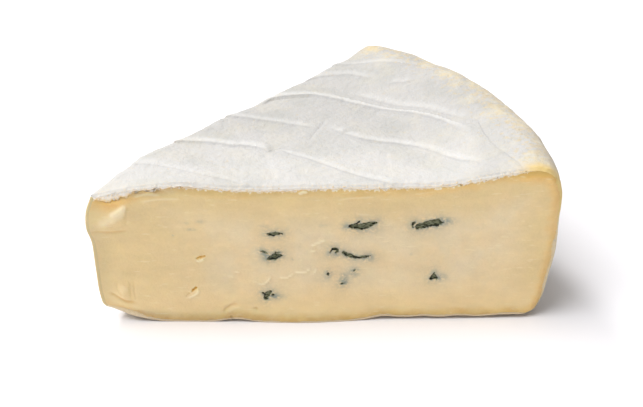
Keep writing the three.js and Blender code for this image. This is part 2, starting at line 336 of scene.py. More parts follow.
def nearest_line(x, y):
    """Signed distance in mm to the nearest fold's or crease's line, its strength, and its ridge's."""
    nearest = np.full(x.shape, LINE_REACH)
    strength = np.zeros(x.shape)
    ridge = np.zeros(x.shape)
    lines = [(crest, height / FULL_FOLD, FOLD_FOOT, 1) for crest, height, _, _ in FOLDS]
    lines += [(line, depth / FULL_CREASE, 0, 0) for line, depth, width in CREASES if width < FINE_CREASE]
    for points, strong, foot, ridged in lines:
        distance, along = beside(points, x, y)
        distance = distance + foot
        ends = smoothstep(along, 0, 0.12) * (1 - smoothstep(along, 0.8, 1))
        closer = np.abs(distance) < np.abs(nearest)
        nearest = np.where(closer, distance, nearest)
        strength = np.where(closer, strong * ends, strength)
        ridge = np.where(closer, ridged * strong * ends, ridge)
    return nearest, strength, ridge


# Where the rim's shoulder dips, or rises, near the back cut: place, reach and depth.
SHOULDER_DIPS = [((91, 72.5), 6.5, 0.9), ((78.5, 85), 4, -0.5), ((70, 77), 5, 0.5)]
BACK_DROP = {"start": 92, "end": 109, "height": 2.3}
BACK_DROP_WIDTH = 22
# Where the foot is drawn up beside the front cut: it climbs from one place to the next, by a height.
FOOT_STEPS = [(30, 36, 0.8), (38, 44, -0.8), (66, 74, 0.6), (98, 106, 0.45)]
# Short gaps under the foot there: place, reach and height.
FOOT_GAPS = [(75, 2.6, 0.45), (85, 2.4, 0.35), (94.5, 3.6, 0.4)]
FOOT_REACH = 5
RIM_WAVES = 0.5
RIM_FLAT = {"at": math.radians(19), "spread": 0.2, "height": -0.7}


def back_drop(x, y):
    """How far the crown sinks towards the back cut, which has sagged."""
    to_back = x * math.sin(WEDGE_ANGLE) - y * math.cos(WEDGE_ANGLE)
    drop = climb(np.hypot(x, y), **BACK_DROP) * (1 - smoothstep(to_back, -2, BACK_DROP_WIDTH))
    for (at_x, at_y), reach, depth in SHOULDER_DIPS:
        drop = drop + depth * bump(np.hypot(x - at_x, y - at_y), reach)
    return drop


def foot_lift(x, y):
    steps = sum(climb(x, *step) for step in FOOT_STEPS)
    return bump(y, FOOT_REACH) * (steps + sum(swell(x, *gap) for gap in FOOT_GAPS))


def settle(x, y, z):
    """The wheel's relief added to a plain point: folds on top, swells on the rim, lifts below."""
    r = np.hypot(x, y)
    angle = np.arctan2(y, x)
    on_top = smoothstep(z, 32, 37) * (1 - smoothstep(r, 113, 119))
    on_side = smoothstep(r, 104, 112) * smoothstep(z, 1, 9)
    further = RIM_WAVES * slow_waves(40 * angle, z, 0.4) + swell(angle, **RIM_FLAT)
    grow = 1 + on_side * further / WHEEL_RADIUS
    lifted = foot_lift(x, y) * (1 - smoothstep(z, 1, 8))
    raised = on_top * rind_relief(x, y) + lifted - smoothstep(z, 20, 36) * back_drop(x, y)
    return x * grow, y * grow, z + raised


print("folds:", len(FOLDS), "creases:", len(CREASES))

# %% [markdown]
# ## Pockets of mould
# The wheel was pierced with needles, and blue mould grew in the gaps that the air reached. On a
# cut face each gap shows as a small ragged pocket. A pocket is one or more short strokes. The
# distance to the nearest stroke's edge shapes the hollow, and is kept as an attribute so that the
# finish can follow it too.

# %% Pockets on the cut faces
# Each row: points it passes through, half widths at its start, middle and end, and its depth.
FRONT_POCKETS = [
    (((44.7, 25.2), (46.1, 25.1), (47.4, 25.2), (48.9, 25.2)), (0.1, 0.62, 0.1), 0.9),
    (((45.3, 17.9), (46.4, 18.4), (47.6, 18.8), (48.8, 19)), (0.3, 0.98, 0.22), 1.2),
    (((46.6, 19.6), (47.4, 19.9), (48.4, 19.8)), (0.1, 0.22, 0.12), 0.6),
    (((43.6, 20.3), (44.2, 20.1), (45.2, 19.6)), (0.2, 0.24, 0.08), 0.5),
    (((44.7, 7), (45, 7.9), (45.7, 8.7)), (0.55, 0.78, 0.4), 1.1),
    (((46.4, 7.8), (46.6, 7.7)), (0.42, 0.42, 0.3), 1),
    (((43.9, 8.3), (44, 8.2)), (0.26, 0.26, 0.2), 0.5),
    (((66.2, 27.1), (68, 26.9), (69.7, 27.1), (71.5, 27.7), (72.8, 28.1)), (0.5, 1.05, 0.28), 1.4),
    (((67.3, 27.5), (68, 28), (68.6, 28.7)), (0.34, 0.3, 0.14), 1),
    (((61.2, 19.7), (61.9, 20.5), (63, 20.2), (62.6, 19.5)), (0.3, 0.4, 0.22), 1),
    (((64.5, 19.5), (65.5, 18.9), (67.2, 18.2), (68.3, 18.1)), (0.38, 0.52, 0.3), 1),
    (((68.3, 18.1), (70, 18.3), (71.3, 18.6)), (0.32, 0.34, 0.08), 0.7),
    (((60.6, 13.8), (60.6, 13.1)), (0.26, 0.26, 0.18), 0.5),
    (((63.9, 10.6), (64.9, 10.8)), (0.24, 0.28, 0.18), 0.6),
    (((67.2, 14.3), (67.4, 14.4)), (0.26, 0.26, 0.22), 0.5),
    (((82.5, 27.9), (82, 27.4), (82, 26.6)), (0.26, 0.3, 0.16), 0.8),
    (((83.4, 26.7), (84.9, 27), (86.5, 27.5), (88.3, 27.7)), (0.74, 0.9, 1.04), 1.4),
    (((88, 27.7), (89.8, 27.8)), (0.6, 0.34, 0.08), 0.6),
    (((87.2, 11.9), (87.6, 12.3), (88.1, 12)), (0.55, 0.78, 0.5), 1.1),
    (((87.6, 13), (87.8, 13.4)), (0.3, 0.26, 0.12), 0.6),
]
BACK_POCKETS = [
    (((29.2, 24.8), (30.5, 24.6), (31.8, 24.3)), (0.1, 0.6, 0.12), 1),
    (((47.4, 13.8), (49.5, 14.3), (51.7, 14.7)), (0.2, 0.8, 0.16), 1.2),
    (((49.2, 27.6), (51, 27.4), (52.8, 27.2)), (0.12, 0.8, 0.2), 1.1),
    (((69.6, 9.2), (70.4, 9.6), (71.2, 10.2)), (0.5, 0.9, 0.4), 1),
    (((66.2, 23.2), (69.2, 22.8), (72.2, 22.4)), (0.2, 0.95, 0.3), 1.4),
    (((87.8, 17), (90.4, 17.2), (93, 17.6)), (0.4, 0.8, 0.14), 1.3),
    (((90.4, 29.8), (92, 30.1), (93.5, 30.4)), (0.12, 0.74, 0.2), 1),
]
# Two small gas holes, which have no mould in them.
EYE_HOLES = [
    (((27.1, 18.4), (28, 18.7), (29.3, 19)), (0.26, 0.4, 0.12), 0.8),
    (((25.7, 8.9), (26.1, 9.3), (26.6, 9.8)), (0.3, 0.42, 0.34), 0.8),
]
FAR_AWAY = 9.0


def near_stroke(points, r, z, reach):
    """Which places are near a stroke, and there the distance to it and how far along it they are."""
    middle = np.mean(points, axis=0)
    close = np.hypot(r - middle[0], z - middle[1]) < reach
    return close, *beside(points, r[close], z[close])


def to_pocket(pockets, r, z):
    """Distance in mm to the nearest pocket's ragged edge, below 0 inside, and the pocket's depth."""
    points = rows(r, z, 0 * r)
    ragged = 0.18 * clouds(points, 1.0, seed=5, octaves=2) + 0.22 * clouds(points, 0.45, seed=6, octaves=2)
    nearest = np.full(r.shape, FAR_AWAY)
    depth = np.zeros(r.shape)
    for points, widths, deep in pockets:
        close, distance, along = near_stroke(points, r, z, 14)
        distance = np.abs(distance) - np.interp(along, (0, 0.5, 1), widths) + ragged[close]
        old = nearest[close]
        depth[close] = np.where(distance < old, deep, depth[close])
        nearest[close] = np.minimum(old, distance)
    return nearest, depth


# Faint grey places where mould lies just under the surface: place, reach and strength.
FRONT_BRUISES = [
    ((25.9, 26.5), (1.1, 0.35), 0.5), ((28.2, 28.7), (1, 0.5), 0.38), ((24.9, 28.3), (0.8, 0.4), 0.28),
    ((44.2, 27.3), (1.3, 0.45), 0.28), ((59.3, 27.3), (1, 0.35), 0.35), ((64.5, 12.3), (1.1, 1.3), 0.75),
    ((67, 13.4), (1.4, 1.2), 0.4), ((47.6, 7.4), (1.8, 0.9), 0.45), ((44.6, 18.8), (1.2, 1.2), 0.55),
    ((90.2, 28.2), (2.2, 1), 0.8), ((89.6, 12.2), (1.6, 0.9), 0.5), ((65, 27), (1.3, 1), 0.5),
    ((61.9, 18.9), (1.5, 0.9), 0.45), ((71.4, 17.8), (1.6, 0.9), 0.4), ((51.4, 17.9), (0.25, 0.3), 0.5),
    ((21.3, 24.9), (0.25, 0.25), 0.45), ((81.7, 19), (0.35, 0.3), 0.4), ((72, 25.8), (2.5, 1), 0.15),
]
# The haze round a pocket has a strong narrow part and a weak wide one: strength and reach.
HAZES = [(0.66, 0.65), (0.24, 2)]


def haze_on(to_mould, r, z, on_front):
    """How grey the paste is from mould beside and below, from 0 to 1."""
    outside = np.maximum(to_mould, 0)
    total = sum(strength * np.exp(-outside / reach) for strength, reach in HAZES)
    for (at_r, at_z), (reach_r, reach_z), strength in FRONT_BRUISES:
        spot = np.exp(-(((r - at_r) / reach_r) ** 2) - ((z - at_z) / reach_z) ** 2)
        total = total + strength * spot * on_front
    return np.clip(total, 0, 1)


print("pockets:", len(FRONT_POCKETS), "front,", len(BACK_POCKETS), "back")

# %% [markdown]
# The knife also left marks: curls of paste that it pushed up, creases at the point where the paste
# folded, and a crack near the foot. They are lines as well.

# %% Marks of the knife on the front cut
# Each mark: points that it passes through, its height (below zero for a crease) and half width.
FRONT_MARKS = [
    (((0.2, 26.4), (3.5, 26.5), (7, 26.4), (10.4, 26.9)), -0.34, 0.45),
    (((10.4, 33.4), (10.2, 31), (10, 28.6)), -0.22, 0.32),
    (((0.4, 35.6), (3.4, 34.9), (6.8, 35.4), (10.2, 36.6)), -0.35, 0.6),
    (((9.6, 12), (9.5, 9), (9.6, 5.9)), -0.22, 0.28),
    (((10.6, 12), (10.5, 9), (10.7, 6)), -0.2, 0.28),
    (((6.2, 11.4), (6, 9.6), (6.9, 7.6)), -0.2, 0.35),
    (((51.8, 14.6), (54.4, 14.2), (56.2, 15.4)), 0.34, 0.3),
    (((34.9, 13.2), (36.5, 12.8)), 0.2, 0.45),
    (((36.6, 14.4), (38, 14.2)), 0.25, 0.3),
    (((55.8, 20.3), (57.4, 20)), 0.25, 0.3),
    (((3.6, 8.2), (4.7, 7.8), (6.3, 6.8), (8, 5.8), (11.4, 5.4)), -0.45, 0.5),
    (((33.4, 2.2), (34.5, 3.4), (35.8, 4.4), (37.6, 4.9)), -0.3, 0.5),
    (((34.8, 1.9), (36.2, 3.2), (38, 3.7)), 0.14, 0.5),
    (((41.4, 3.4), (42.2, 3.9), (42.4, 3.2)), -0.35, 0.3),
    (((56, 21.5), (58, 22.3), (60.2, 23.4)), 0.3, 0.42),
    (((42.4, 11), (43.9, 10.8), (45.2, 11.9), (46, 13.2)), 0.3, 0.3),
    (((48, 12.7), (49.9, 12.7), (52, 14)), 0.3, 0.3),
    (((56.4, 13.7), (57.2, 14.2), (57.5, 15.3)), 0.26, 0.34),
    (((62.6, 34.3), (66.3, 35), (73.4, 35.3)), 0.15, 0.4),
    (((3, 28.8), (6, 30), (8.4, 31.6), (10.2, 33.4)), 0.22, 1.5),
    (((6.2, 31.4), (8.2, 32.6), (10, 34)), 0.22, 0.6),
    (((11.5, 35.9), (14.5, 36.7), (18.5, 36.2)), 0.18, 0.5),
    (((13, 34.6), (18, 35.2), (24, 35)), 0.18, 0.45),
    (((5.6, 6.8), (7, 8.8), (8.4, 10.6)), 0.16, 1.3),
    (((53.2, 36.2), (54.2, 36.8), (55.3, 36.9)), 0.5, 0.4),
    (((27, 17.9), (27.9, 17.6), (29, 18.2)), 0.32, 0.36),
    (((27.3, 9.6), (27, 8.4), (25.8, 7.6), (24.4, 6.8)), 0.32, 0.36),
    (((25.3, 8.5), (24, 7.5)), -0.3, 0.24),
    (((22.6, 9.3), (23.6, 8.9)), 0.12, 0.6),
]


def knife_marks(r, z):
    """Height of the knife's marks at a place on the front cut, below zero in a crease."""
    total = np.zeros(r.shape)
    for points, height, width in FRONT_MARKS:
        close, distance, along = near_stroke(points, r, z, 12)
        ends = smoothstep(along, 0, 0.2) * (1 - smoothstep(along, 0.8, 1))
        total[close] += height * bump(distance, width) * (0.25 + 0.75 * ends)
    return total


print("knife marks:", len(FRONT_MARKS))

# %% [markdown]
# ## Shaping a block by where its points are
# Both bodies start as a unit cube that stands for a straightened piece of cheese. One way is from
# the centre to the rim, one from the front cut to the back cut, and one through the thickness. The
# cube is subdivided in edit mode, finely only where it shows, and then every point moves to where
# that share of the cheese really is. A grid that follows the cheese makes clean, even faces.

# %% Helpers for subdividing in edit mode


def select_only(piece, kind, chosen):
    """Selects some edges or polygons of a piece and enters edit mode."""
    for parts in (piece.data.vertices, piece.data.edges, piece.data.polygons):
        parts.foreach_set("select", np.zeros(len(parts), bool))
    getattr(piece.data, kind).foreach_set("select", chosen)
    bpy.context.tool_settings.mesh_select_mode = (False, kind == "edges", kind == "polygons")
    bpy.ops.object.mode_set(mode="EDIT")


def values_of(parts, name, width=3, kind=float):
    """What a mesh keeps for each of its points, edges or polygons, as an array."""
    flat = np.empty(len(parts) * width, kind)
    parts.foreach_get(name, flat)
    return flat.reshape(-1, width)


def points_of(piece):
    return values_of(piece.data.vertices, "co")


def face_centres(piece):
    return values_of(piece.data.polygons, "center")


def subdivide(piece, kind, chosen, cuts):
    select_only(piece, kind, chosen)
    bpy.ops.mesh.subdivide(number_cuts=cuts)
    bpy.ops.object.mode_set(mode="OBJECT")


def add_block(name, steps):
    """A unit cube from (0, 0, 0) to (1, 1, 1), cut into even steps along its three sides."""
    bpy.ops.mesh.primitive_cube_add(size=1, location=(0.5, 0.5, 0.5))
    piece = bpy.context.object
    piece.name = name
    bpy.ops.object.transform_apply(location=True)
    for axis, count in enumerate(steps):
        if count > 1:
            ends = values_of(piece.data.edges, "vertices", 2, int)
            run = np.ptp(points_of(piece)[ends], axis=1)
            subdivide(piece, "edges", run[:, axis] > 1e-6, count - 1)
    return piece


def place(piece, x, y, z):
    """Moves every point of a piece to x, y, z, in mm from the wheel's centre."""
    spots = rows(x, y, z) * MM + np.array(wheel_centre)
    piece.data.vertices.foreach_set("co", spots.ravel())
    piece.data.update()
    select_only(piece, "polygons", np.ones(len(piece.data.polygons), bool))
    bpy.ops.mesh.normals_make_consistent(inside=False)
    bpy.ops.object.mode_set(mode="OBJECT")
    bpy.ops.object.shade_smooth()


def keep(piece, **named):
    """Keeps named numbers for each point, for the finish to read."""
    for name, values in named.items():
        attribute = piece.data.attributes.new(name, "FLOAT", "POINT")
        attribute.data.foreach_set("value", values.astype(np.float32))


def count_of(piece):
    piece.data.calc_loop_triangles()
    return len(piece.data.loop_triangles)


# %% [markdown]
# ## The paste
# The paste is the body of the cheese. Only its two cut faces and the point show, so those get a
# fine grid, and the pockets a finer one, while the sides under the rind stay coarse. Its outside
# lies a little inside the rind's, so the two closed bodies overlap and never touch skin to skin.

# %% Model the paste
PASTE_STEPS = (60, 12, 20)
FACE_CUTS = 4
POCKET_CUTS = 2
POCKET_MARGIN = 0.7
PASTE_INSET = 0.22
TOP_INSET = 0.26
HIDDEN_INSET = 2.2
CUT_STRIP = 0.008
FOOT_FACTOR = 1.3


def paste_section(u, v, across):
    """Distance from the centre and height of a share (u out to the rim, v up) of the paste."""
    hidden = smoothstep(0.5 - np.abs(across - 0.5), 0, CUT_STRIP)
    inset = PASTE_INSET + HIDDEN_INSET * hidden * smoothstep(u, 0.02, 0.1)
    low_r = mix(TIP_BLUNT, FOOT_RADIUS, u)
    high_r = mix(TIP_BLUNT, CROWN_RADIUS, u)
    rim = curve_through(RIM_LINE, v)
    crown = top_line(CROWN_RADIUS)
    r = mix(low_r, high_r, v) + u * (rim[:, 0] - mix(FOOT_RADIUS, CROWN_RADIUS, v))
    z = mix(underside_line(low_r), top_line(high_r), v) + u * (rim[:, 1] - crown * v)
    r = r - inset * smoothstep(r, 60, 100)
    z = inset + z * (1 - (2 * inset + TOP_INSET) / THICKNESS)
    return r, z


# Where the golden border is wider, at the crown and the point: place, reach and extra width.
GOLDEN_CORNERS = [((CROWN_RADIUS, 41), (6, 5), 2.6), ((6, 34), (6, 2.5), 2.4)]


def rind_distance(r, z):
    """How far a point of a cut face is from the rind, in mm, for its golden border."""
    near_top = top_line(r) - z
    near_foot = FOOT_FACTOR * (z - underside_line(r))
    near_rim = rim_radius(z) - r
    nearest = np.minimum(np.minimum(near_top, near_foot), near_rim)
    for (at_r, at_z), (reach_r, reach_z), width in GOLDEN_CORNERS:
        nearest = nearest - width * bump(r - at_r, reach_r) * bump(z - at_z, reach_z)
    return np.maximum(nearest, 0)


def crowd(across):
    """Moves the first and last step of the block close to the cut faces."""
    step = 1 / PASTE_STEPS[1]
    return np.interp(across, (0, step, 1 - step, 1), (0, CUT_STRIP, 1 - CUT_STRIP, 1))


paste = add_block("cheese_paste", PASTE_STEPS)
centres = face_centres(paste)
EDGE = 1e-5
cut_faces = (centres[:, 1] < EDGE) | (centres[:, 1] > 1 - EDGE) | (centres[:, 0] < EDGE)
subdivide(paste, "polygons", cut_faces, FACE_CUTS)

for side, pockets in ((0, FRONT_POCKETS + EYE_HOLES), (1, BACK_POCKETS)):
    centres = face_centres(paste)
    r, z = paste_section(centres[:, 0], centres[:, 2], centres[:, 1])
    on_side = np.abs(centres[:, 1] - side) < EDGE
    reach = to_pocket(pockets, r, z)[0]
    subdivide(paste, "polygons", on_side & (reach < POCKET_MARGIN), POCKET_CUTS)
print("paste triangles:", count_of(paste))

# %% [markdown]
# A hollow is sunk where the distance to a pocket's edge is below zero, with a raised soft lip round
# it where the needle and the knife pushed the paste. A fine grain lies over the whole face. Then the
# distances and shares that the finish needs are kept with the points.

# %% Sink the pockets and shape the paste
LIP = {"at": 0.30, "spread": 0.25, "height": 0.10}
DEPTH_SHARE = 0.5
# Each grain: height, size of a cloud, seed and octaves.
GRAINS = [(0.10, (3.2, 1.6, 9), 2, 3), (0.05, 0.8, 4, 2)]


def hollow(distance, depth):
    sunk = DEPTH_SHARE * depth * smoothstep(-distance, -0.10, 0.35)
    return swell(distance, **LIP) - sunk


share = points_of(paste)
u, v = share[:, 0], share[:, 2]
across = crowd(share[:, 1])
r, z = paste_section(u, v, across)
grain = sum(height * clouds(rows(r, z, across * 50), *cloud) for height, *cloud in GRAINS)
to_front, front_depth = to_pocket(FRONT_POCKETS, r, z)
to_back, back_depth = to_pocket(BACK_POCKETS, r, z)
to_eye, eye_depth = to_pocket(EYE_HOLES, r, z)
on_front = across < 0.5
marks = knife_marks(r, z) * on_front
front_more = grain + hollow(to_front, front_depth) + hollow(to_eye, eye_depth) + marks
x, y = plan(r, across, z, front_more, grain + hollow(to_back, back_depth))
place(paste, *settle(x, y, z))
to_rind = rind_distance(r, z)
to_mould = np.where(on_front, to_front, to_back)
# The point's left side faces the key light, and the finish paints shade on it.
tip_side_shade = smoothstep(0.5 - np.abs(across - 0.5), 0, 0.03) * (1 - smoothstep(r, 2, 4))
keep(
    paste,
    to_rind=to_rind,
    to_mould=to_mould,
    to_eye=np.where(on_front, to_eye, FAR_AWAY),
    marks=marks,
    ripeness=np.maximum(1 - smoothstep(to_rind, 3, 15), 0.9 * (1 - smoothstep(r, 12, 42))),
    to_top=top_line(r) - z + climb(r, 107, 112, 3),
    # point: where the finish paints shade on the point, which the key light hits hard
    point=np.maximum(0.45 * (1 - smoothstep(r, 1.5, 7.0)), tip_side_shade),
    # low: share near the foot, where the paste is made warmer and lighter, partly its own colour and partly
    # painted light bounced up from the floor
    low=1 - smoothstep(z, 3, 15),
    haze=haze_on(to_mould, r, z, on_front),
)
print("paste box, mm:", [round(d * 1000, 1) for d in paste.dimensions])

# %% [markdown]
# ## The rind
# The rind is a skin of white mould and pressed curd about a millimetre thick. It goes from the top
# of the point out to the rim, down and back underneath, and it ends raggedly at both cuts because
# the knife drags it. It is a slab that is straight in its own frame: along the section, across from
# cut to cut, and through its thickness. Its cut edges are finest, and the underside stays coarse.

# %% Model the rind
TOP_STEPS, RIM_STEPS, UNDER_STEPS = 50, 23, 25
ACROSS_STEPS = 48
SKIN_CUTS = 3
RIND_STEPS = TOP_STEPS + RIM_STEPS + UNDER_STEPS

LINE_POINTS = 400
top_r = np.linspace(TIP_BLUNT, CROWN_RADIUS, LINE_POINTS)
under_r = np.linspace(FOOT_RADIUS, TIP_BLUNT, LINE_POINTS)
skin_line = np.concatenate([
    rows(top_r, top_line(top_r)), RIM_CURVE[-2:0:-1], rows(under_r, underside_line(under_r)),
])
skin_steps = np.hypot(*np.diff(skin_line, axis=0).T)
skin_length = np.concatenate([[0], np.cumsum(skin_steps)])
CROWN_AT = skin_length[LINE_POINTS - 1]
FOOT_AT = skin_length[-LINE_POINTS]
skin_turn = np.gradient(skin_line, skin_length, axis=0)
skin_inward = rows(-skin_turn[:, 1], skin_turn[:, 0])
skin_inward *= -1 / np.hypot(*skin_inward.T)[:, None]
print("rind section, mm:", [round(float(n)) for n in (CROWN_AT, FOOT_AT, skin_length[-1])])

rind = add_block("cheese_rind", (RIND_STEPS, ACROSS_STEPS, 1))
centres = face_centres(rind)
foot_share = (TOP_STEPS + RIM_STEPS + 1) / RIND_STEPS
ends = (centres[:, 1] < EDGE) | (centres[:, 1] > 1 - EDGE)
ends |= (centres[:, 0] < EDGE) | (centres[:, 0] > 1 - EDGE)
shown = (centres[:, 2] < EDGE) & (centres[:, 0] < foot_share)
subdivide(rind, "polygons", ends | shown, SKIN_CUTS)
centres = face_centres(rind)
near_cut = np.abs(centres[:, 1] - 0.5) > 0.5 - 1 / ACROSS_STEPS
outside = (centres[:, 2] < EDGE) & (centres[:, 0] < foot_share)
near_tip = centres[:, 0] < EDGE
edge_strip = (np.abs(centres[:, 1] - 0.5) > 0.5 - EDGE) | (near_cut & outside) | near_tip
subdivide(rind, "polygons", edge_strip, 1)
print("rind triangles:", count_of(rind))

# %% [markdown]
# The skin is thicker and thinner from place to place. At the cuts it has its own thickness: most on
# top, where it droops over the point, and least at the foot. Its cut edge is rounded and ragged.

# %% Thickness and edge of the rind
RIND_THICK = 1.25
CUT_THICK = {"top": 1.15, "rim": 0.6, "foot": 0.4}
TIP_DROOP = {"at": 6, "spread": 4.6, "height": 1.3}
# Where the rind is thicker at the front cut: height on the rim, reach and extra thickness.
RIM_PATCHES = [(20.4, 2.5, 0.9), (11, 4, 0.6)]
POINT_FOOT = {"at": 8, "spread": 6, "height": 0.9}
CROWN_THIN = 0.4
LEAST_ON_TOP, LEAST_ELSEWHERE = 0.80, 0.25
OVERHANG = {"round": 0.20, "ragged": 0.16}

u, across, depth = points_of(rind).T
stops = np.array([0, TOP_STEPS, TOP_STEPS + RIM_STEPS, RIND_STEPS]) / RIND_STEPS
length = np.interp(u, stops, [0, CROWN_AT, FOOT_AT, skin_length[-1]])
out_r, out_z, in_r, in_z = (
    np.interp(length, skin_length, column) for column in (*skin_line.T, *skin_inward.T)
)
on_front = across < 0.5
side = np.where(on_front, 0, 400)
strip = rows(length, side, 0 * length)
from_cut = (0.5 - np.abs(across - 0.5)) * WEDGE_ANGLE * np.maximum(out_r, 1)
at_cut = 1 - smoothstep(from_cut, 0, 2.4)
droop = swell(out_r, **TIP_DROOP) * smoothstep(out_r, 1, 4) * on_front * (out_z > 20)
cut_thick = np.interp(out_z, (0, 8, 34, 38), [CUT_THICK[part] for part in ("foot", "rim", "rim", "top")])
patches = smoothstep(out_r, 104, 112) * sum(swell(out_z, *patch) for patch in RIM_PATCHES)
cut_thick += on_front * (patches + swell(out_r, **POINT_FOOT) * (out_z < 8))
thick = mix(RIND_THICK, cut_thick + droop, at_cut)
thick *= 1 + 0.4 * clouds(strip, 2.0, seed=7) + at_cut * 0.6 * clouds(strip, 0.7, seed=8, octaves=2)
thick *= 1 - CROWN_THIN * on_front * bump(length - CROWN_AT - 3, 5)
thick = np.maximum(thick, np.where(out_z > 36, LEAST_ON_TOP, LEAST_ELSEWHERE))
r = out_r + in_r * thick * depth
z = out_z + in_z * thick * depth

edge_place = rows(length, side + 2 * depth, 0 * length)
ragged = OVERHANG["ragged"] * clouds(edge_place, (1.2, 1.5, 1), seed=11, octaves=3)
rounded = OVERHANG["round"] * np.sin(math.pi * np.clip(depth * 0.85 + 0.12, 0, 1)) ** 0.8
overhang = (rounded + ragged) * (1 - 0.9 * depth**3)
x, y = plan(r, across, z, overhang, overhang)
print("thickness of the rind, mm:", round(float(thick.min()), 2), "to", round(float(thick.max()), 2))

# %% [markdown]
# The rind's outer face has the folds, small wrinkles that run with the folds, and a soft fine grain,
# and its top edge at the front cut is rounded into a small shoulder. As with the paste, distances
# and shares are kept with the points for the finish.

# %% Relief of the rind
WRINKLE_TURN = math.radians(-28)
WRINKLE_HEIGHT = 0.30
FUZZ_HEIGHT = 0.07
CUT_SHOULDER = {"front": 0.5, "back": 0.1, "reach": 1.1}

turned = rows(
    x * math.cos(WRINKLE_TURN) + y * math.sin(WRINKLE_TURN),
    y * math.cos(WRINKLE_TURN) - x * math.sin(WRINKLE_TURN),
    z,
)
outer = 1 - depth
wrinkles = WRINKLE_HEIGHT * clouds(turned, (11, 3.2, 8), seed=21, octaves=3)
fuzz = FUZZ_HEIGHT * clouds(rows(x, y, z), 1.1, seed=23, octaves=2)
shoulder = np.where(on_front, CUT_SHOULDER["front"], CUT_SHOULDER["back"])
shoulder = shoulder * (1 - smoothstep(from_cut, 0, CUT_SHOULDER["reach"]))
lift = outer * (wrinkles + fuzz)
on_top = smoothstep(z, 30, 36)
r_here = np.hypot(x, y)
grow = 1 + lift * smoothstep(r_here, 100, 114) * (1 - on_top * smoothstep(z, 40, 42)) / r_here
x, y, z_settled = settle(x * grow, y * grow, z + (lift - outer * shoulder) * on_top)
place(rind, x, y, z_settled)
line_distance, line_strength, ridge_strength = nearest_line(x, y)
worn = smoothstep(length, CROWN_AT - 7, CROWN_AT + 1) * (1 - smoothstep(from_cut, 1, 5.5))
keep(
    rind,
    to_fold=line_distance,
    line_strength=line_strength * on_top,
    fold_strength=ridge_strength * on_top,
    # share of painted shade: the top grows darker towards the back cut and the rim
    greyness=np.maximum(smoothstep(y, 6, 42), climb(x, 92, 102, 0.7)),
    skin_depth=depth,
    worn=worn * smoothstep(z, 24, 32) * np.where(on_front, 1, 0.4),
    rim=smoothstep(length, CROWN_AT - 12, CROWN_AT + 5),
    from_cut=np.minimum(from_cut, FAR_AWAY) + FAR_AWAY * (across > 0.5),
    underside=(1 - smoothstep(z, 0.5, 6)) * mix(0.3, 1, smoothstep(out_r, 10, 22)),
)
print("rind box, mm:", [round(d * 1000, 1) for d in rind.dimensions])

# %% [markdown]
# ## Fluff along the cut
# The knife tears the mould's white threads, so both cuts have a fringe of tiny tufts that hang over
# the paste. One tuft is a ball of twenty faces, drawn out into an uneven shred. Many small things
# are quickest as one joined mesh, so its points are copied into an array, and each copy is turned,
# sized and set down, in clumps, by draws from a fixed seed.

# %% Model one tuft
TUFT_SHAPE = (0.55, 0.25, 1.2)

bpy.ops.object.select_all(action="DESELECT")
bpy.ops.mesh.primitive_ico_sphere_add(subdivisions=1, radius=1)
tuft = bpy.context.object
tuft_points = points_of(tuft)
dent = 1 + 0.30 * clouds(tuft_points, 0.9, seed=31, octaves=2)
tuft_points = tuft_points * dent[:, None] * TUFT_SHAPE
tuft_corners = values_of(tuft.data.polygons, "vertices", 3, int)
bpy.data.objects.remove(tuft)
print("tuft points:", len(tuft_points))

# %% Copy it along both cuts
draw = np.random.default_rng(12)
TUFTS = {"front": 560, "back": 320}
BROWN_SHARE = 0.02
BACK_LOWER = 0.5
TUFT_SPIN = 0.55


def tuft_spots(count):
    """Distance from the centre, height and size of tufts along the top edge of a cut, in clumps."""
    r = draw.uniform(2.5, 112, count)
    clump = clouds(rows(r, 0 * r, 0 * r), (2.2, 1, 1), seed=33, octaves=2)
    z = top_line(r) - 0.5 - draw.uniform(0, 0.6, count) - 0.8 * np.maximum(clump, -0.4)
    return r, z, 0.10 + 0.22 * draw.uniform(0, 1, count) ** 2


# One row for each cut: distance, height, how proud, which cut, brown or not, and stain.
tuft_rows = []
for kind, count in TUFTS.items():
    spot_r, spot_z, size = (values[:, None] for values in tuft_spots(count))
    spin = draw.normal(0, TUFT_SPIN, (count, 1))
    turned_x = tuft_points[:, 0] * np.cos(spin) - tuft_points[:, 2] * np.sin(spin)
    turned_z = tuft_points[:, 0] * np.sin(spin) + tuft_points[:, 2] * np.cos(spin)
    same = np.ones(turned_x.shape)
    tuft_rows.append((
        spot_r + turned_x * size,
        spot_z + turned_z * size * 1.15 - BACK_LOWER * (kind == "back"),
        0.10 + tuft_points[:, 1] * size,
        same * (kind == "back"),
        same * (draw.random((count, 1)) < BROWN_SHARE),
        same * draw.uniform(0, 0.9, (count, 1)),
    ))
r, z, proud, across, brown, stain = (np.concatenate(parts).ravel() for parts in zip(*tuft_rows))
x, y = plan(r, across, z, proud * (1 - across), proud * across)
fluff_places = rows(*settle(x, y, z))
first_points = np.arange(sum(TUFTS.values())) * len(tuft_points)
fluff_faces = (tuft_corners + first_points[:, None, None]).reshape(-1, 3)
fluff_mesh = bpy.data.meshes.new("cheese_rind_fluff")
fluff_mesh.from_pydata(fluff_places.tolist(), [], fluff_faces.tolist())
fluff = bpy.data.objects.new("cheese_rind_fluff", fluff_mesh)
bpy.context.collection.objects.link(fluff)
bpy.context.view_layer.objects.active = fluff
fluff.select_set(True)
place(fluff, *fluff_places.T)
keep(fluff, stain=stain, brown=brown)
print("fluff triangles:", count_of(fluff))

# %% [markdown]
# ## Helpers for finishes
# A finish is a net of small nodes. These helpers give the few kinds used here short names, so that
# each finish below reads as a recipe. The cloudy mottling serves both the paste and the rind, so it
# is one shader group, placed in each with its own sizes.

# %% Node helpers


